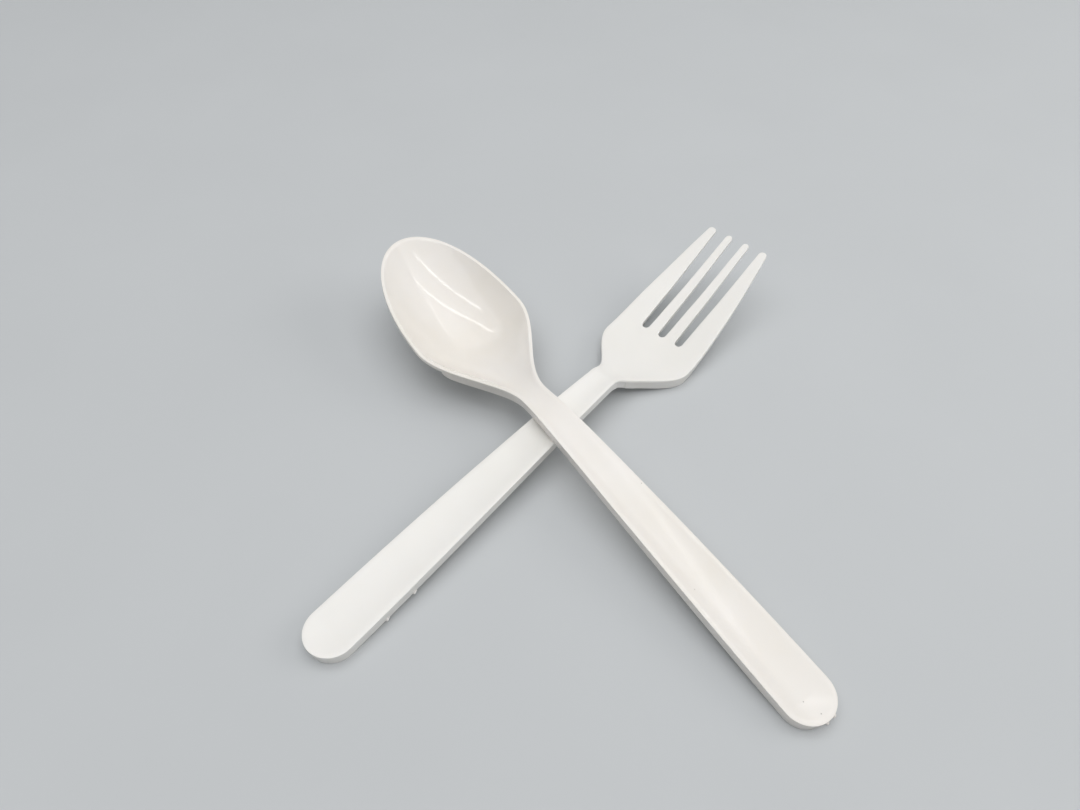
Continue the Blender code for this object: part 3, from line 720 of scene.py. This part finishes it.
def moulded_plastic(name, colour, hollow_colour, roughness, neck, speck_places, seed):
    """Injection-moulded plant-based plastic, satin from a fine-blasted mould, glossier in the head.

    Light goes a little way in, so edges and thin walls stay soft. The eye sees soft highlights that draw
    together into lines where the mould was polished, a faint unevenness where the melt cooled, and now and
    then a tiny dark speck from the resin. roughness is that of the handle and that of the head.
    """
    material = bpy.data.materials.new(name)
    material.use_nodes = True
    tree = material.node_tree
    tree.nodes.clear()
    place = node(tree, "ShaderNodeTexCoord").outputs["Object"]
    moved = node(tree, "ShaderNodeMapping", {"Location": (seed, seed / 3.0, 0.0)}, {"Vector": place})
    spot = moved.outputs["Vector"]

    cloud = node(tree, "ShaderNodeTexNoise",
                 {"Scale": 1.0 / (CLOUD_SIZE * MM), "Detail": CLOUD_DETAIL, "Roughness": 0.5},
                 {"Vector": spot})
    tone = node(tree, "ShaderNodeValToRGB", links={"Fac": cloud.outputs["Fac"]})
    tone.color_ramp.elements[0].position = CLOUD_BAND[0]
    tone.color_ramp.elements[0].color = linear(hollow_colour)
    tone.color_ramp.elements[1].position = CLOUD_BAND[1]
    tone.color_ramp.elements[1].color = linear(colour)
    shade = tone.outputs["Color"]

    cells = node(tree, "ShaderNodeTexVoronoi", {"Scale": 1.0 / (SPECK_SPACING * MM), "Randomness": 1.0},
                 {"Vector": spot}, feature="F1")
    reach = SPECK_SIZE / SPECK_SPACING
    specks = node(tree, "ShaderNodeMapRange",
                  {"From Min": reach * SPECK_CORE, "From Max": reach, "To Min": SPECK_STRENGTH,
                   "To Max": 0.0},
                  {"Value": cells.outputs["Distance"]})
    mask = specks.outputs["Result"]
    for point, size in speck_places:
        away = node(tree, "ShaderNodeVectorMath", {1: point}, {0: place}, operation="DISTANCE")
        dot = node(tree, "ShaderNodeMapRange",
                   {"From Min": size * SPECK_CORE * MM, "From Max": size * MM, "To Min": SPECK_STRENGTH,
                    "To Max": 0.0},
                   {"Value": away.outputs["Value"]})
        both = node(tree, "ShaderNodeMath", links={0: mask, 1: dot.outputs["Result"]}, operation="MAXIMUM")
        mask = both.outputs["Value"]
    speckled = node(tree, "ShaderNodeMix", {"B": linear(SPECK_COLOUR)}, {"Factor": mask, "A": shade},
                    data_type="RGBA")

    grain = node(tree, "ShaderNodeTexNoise",
                 {"Scale": 1.0 / (GRAIN_SIZE * MM), "Detail": GRAIN_DETAIL}, {"Vector": spot})
    ripple = node(tree, "ShaderNodeTexNoise",
                  {"Scale": 1.0 / (RIPPLE_SIZE * MM), "Detail": RIPPLE_DETAIL}, {"Vector": spot})
    start, ahead = neck
    along = node(tree, "ShaderNodeVectorMath", {1: start}, {0: place}, operation="SUBTRACT")
    beyond = node(tree, "ShaderNodeVectorMath", {1: ahead}, {0: along.outputs["Vector"]},
                  operation="DOT_PRODUCT")
    satin = node(tree, "ShaderNodeMapRange",
                 {"From Min": 0.0, "From Max": POLISH_LENGTH * MM, "To Min": roughness[0],
                  "To Max": roughness[1]},
                 {"Value": beyond.outputs["Value"]}, interpolation_type="SMOOTHSTEP")
    uneven = node(tree, "ShaderNodeMapRange",
                  {"From Min": GLOSS_BAND[0], "From Max": GLOSS_BAND[1], "To Min": 0.0,
                   "To Max": ROUGHNESS_SPREAD},
                  {"Value": cloud.outputs["Fac"]})
    gloss = node(tree, "ShaderNodeMath", links={0: satin.outputs["Result"], 1: uneven.outputs["Result"]},
                 operation="ADD")
    waves = node(tree, "ShaderNodeBump", {"Strength": 1.0, "Distance": RIPPLE_HEIGHT * MM},
                 {"Height": ripple.outputs["Fac"]})
    grain_left = node(tree, "ShaderNodeMapRange",
                      {"From Min": 0.0, "From Max": POLISH_LENGTH * MM, "To Min": 1.0,
                       "To Max": (roughness[1] / roughness[0]) ** 2},
                      {"Value": beyond.outputs["Value"]}, interpolation_type="SMOOTHSTEP")
    skin = node(tree, "ShaderNodeBump", {"Distance": GRAIN_HEIGHT * MM},
                {"Strength": grain_left.outputs["Result"], "Height": grain.outputs["Fac"],
                 "Normal": waves.outputs["Normal"]})
    shader = node(tree, "ShaderNodeBsdfPrincipled",
                  {"IOR": PLASTIC_IOR, "Subsurface Weight": SCATTER_SHARE,
                   "Subsurface Radius": SCATTER_REACH, "Subsurface Scale": SCATTER_DEPTH * MM},
                  {"Base Color": speckled.outputs["Result"], "Roughness": gloss.outputs["Value"],
                   "Normal": skin.outputs["Normal"]})
    node(tree, "ShaderNodeOutputMaterial", links={"Surface": shader.outputs["BSDF"]})
    return material


def table_material():
    """Matt painted board: even and pale, with no gloss that would mirror the pieces.

    Far off it fades into the backdrop, so that no horizon shows.
    """
    material = bpy.data.materials.new("painted_board_matt")
    material.use_nodes = True
    tree = material.node_tree
    tree.nodes.clear()
    place = node(tree, "ShaderNodeTexCoord").outputs["Object"]
    mottle = node(tree, "ShaderNodeTexNoise",
                  {"Scale": 1.0 / (BOARD_MOTTLE * MM), "Detail": BOARD_DETAIL}, {"Vector": place})
    tone = node(tree, "ShaderNodeMix", {"A": linear(BOARD_COLOURS[0]), "B": linear(BOARD_COLOURS[1])},
                {"Factor": mottle.outputs["Fac"]}, data_type="RGBA")
    board = node(tree, "ShaderNodeBsdfPrincipled",
                 {"Roughness": BOARD_ROUGHNESS, "Specular IOR Level": BOARD_SHINE},
                 {"Base Color": tone.outputs["Result"]})
    far = node(tree, "ShaderNodeVectorMath", links={0: place}, operation="LENGTH")
    fade = node(tree, "ShaderNodeMapRange", {"From Min": FADE_START * MM, "From Max": FADE_END * MM},
                {"Value": far.outputs["Value"]}, interpolation_type="SMOOTHSTEP")
    sight = node(tree, "ShaderNodeLightPath")
    share = node(tree, "ShaderNodeMath", links={0: fade.outputs["Result"], 1: sight.outputs["Is Camera Ray"]},
                 operation="MULTIPLY")
    backdrop = node(tree, "ShaderNodeEmission", {"Color": linear(BACKDROP_COLOUR), "Strength": 1.0})
    shown = node(tree, "ShaderNodeMixShader", links={
        0: share.outputs["Value"], 1: board.outputs["BSDF"], 2: backdrop.outputs["Emission"]})
    node(tree, "ShaderNodeOutputMaterial", links={"Surface": shown.outputs["Shader"]})
    return material


def lay_table():
    """A wide round pale board under the pieces."""
    bm = bmesh.new()
    bmesh.ops.create_circle(bm, cap_ends=True, segments=TABLE_SEGMENTS, radius=TABLE_REACH * MM)
    mesh = bpy.data.meshes.new("table_board")
    bm.to_mesh(mesh)
    bm.free()
    board = bpy.data.objects.new("table_board", mesh)
    bpy.context.scene.collection.objects.link(board)
    mesh.materials.append(table_material())


def soft_lamp(name, place, aim, turn, size, power, colour):
    """A rectangular soft lamp; place, aim and size in millimetres, turn in degrees, power in watts."""
    data = bpy.data.lights.new(name, "AREA")
    data.shape = "RECTANGLE"
    data.size = size[0] * MM
    data.size_y = size[1] * MM
    data.energy = power
    data.color = linear(colour)[:3]
    lamp = bpy.data.objects.new(name, data)
    lamp.location = Vector(place) * MM
    sight = (Vector(aim) - Vector(place)).to_track_quat("-Z", "Y").to_matrix()
    lamp.rotation_euler = (sight @ Matrix.Rotation(math.radians(turn), 3, "Z")).to_euler()
    bpy.context.scene.collection.objects.link(lamp)


def studio():
    """Three strips that draw lines in the glossy faces, a wide soft ceiling, a window and a pale surround."""
    for lamp in LAMPS:
        soft_lamp(*lamp)
    world = bpy.data.worlds.new("pale_room")
    world.use_nodes = True
    tree = world.node_tree
    tree.nodes.clear()
    room = node(tree, "ShaderNodeBackground", {"Color": linear(ROOM_COLOUR), "Strength": ROOM_STRENGTH})
    backdrop = node(tree, "ShaderNodeBackground", {"Color": linear(BACKDROP_COLOUR), "Strength": 1.0})
    sight = node(tree, "ShaderNodeLightPath")
    shown = node(tree, "ShaderNodeMixShader", links={
        0: sight.outputs["Is Camera Ray"], 1: room.outputs["Background"], 2: backdrop.outputs["Background"]})
    node(tree, "ShaderNodeOutputWorld", links={"Surface": shown.outputs["Shader"]})
    bpy.context.scene.world = world


def set_camera():
    """The camera stands where the photograph was taken from."""
    data = bpy.data.cameras.new("view_camera")
    data.sensor_width = SENSOR_WIDTH
    data.lens = CAMERA_LENS
    data.clip_start = NEAR_CLIP * MM
    camera = bpy.data.objects.new("view_camera", data)
    camera.location = Vector(CAMERA_PLACE) * MM
    camera.rotation_euler = (math.radians(90.0 - CAMERA_PITCH), 0.0, math.radians(-CAMERA_HEADING))
    bpy.context.scene.collection.objects.link(camera)
    bpy.context.scene.camera = camera


def face_points(place, specks, edge_height, dish):
    """Where the specks lie on the face, in the frame, with their sizes."""
    points = []
    for station, side, size in specks:
        level = edge_height(station) - dish(Vector((station, abs(side))))
        points.append((place @ (Vector((station, side, level)) * MM), size))
    return points


def neck_line(place, edge_height):
    """The neck's middle in the frame and the direction from there to the head."""
    start = place @ (Vector((NECK_STATION, 0.0, edge_height(NECK_STATION))) * MM)
    ahead = (place.to_3x3() @ Vector((1.0, 0.0, 0.0))).normalized()
    return start, ahead


def main():
    """Both mouldings with their finishes, the table, the light and the view."""
    spoon_bm = spoon_mesh()
    fork_place, spoon_place = layout(spoon_bm)
    fork = moulding("fork_moulding", fork_mesh(), fork_place)
    spoon = moulding("spoon_moulding", spoon_bm, spoon_place)
    specks = face_points(spoon_place, SPOON_SPECKS, spoon_edge_height, spoon_dish)
    fork_neck = neck_line(fork_place, fork_edge_height)
    spoon_neck = neck_line(spoon_place, spoon_edge_height)
    fork.data.materials.append(moulded_plastic(
        "moulded_cool_white_plastic", *FORK_COLOURS, FORK_ROUGHNESS, fork_neck, [], FORK_SEED))
    spoon.data.materials.append(moulded_plastic(
        "moulded_warm_white_plastic", *SPOON_COLOURS, SPOON_ROUGHNESS, spoon_neck, specks, SPOON_SEED))
    for piece, solid, finish in ((fork, "fork", "fork_plastic"), (spoon, "spoon", "spoon_plastic")):
        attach(piece, "root")
        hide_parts(solid)
    lay_table()
    studio()
    set_camera()
    scene = bpy.context.scene
    scene.view_settings.view_transform = "Standard"


main()
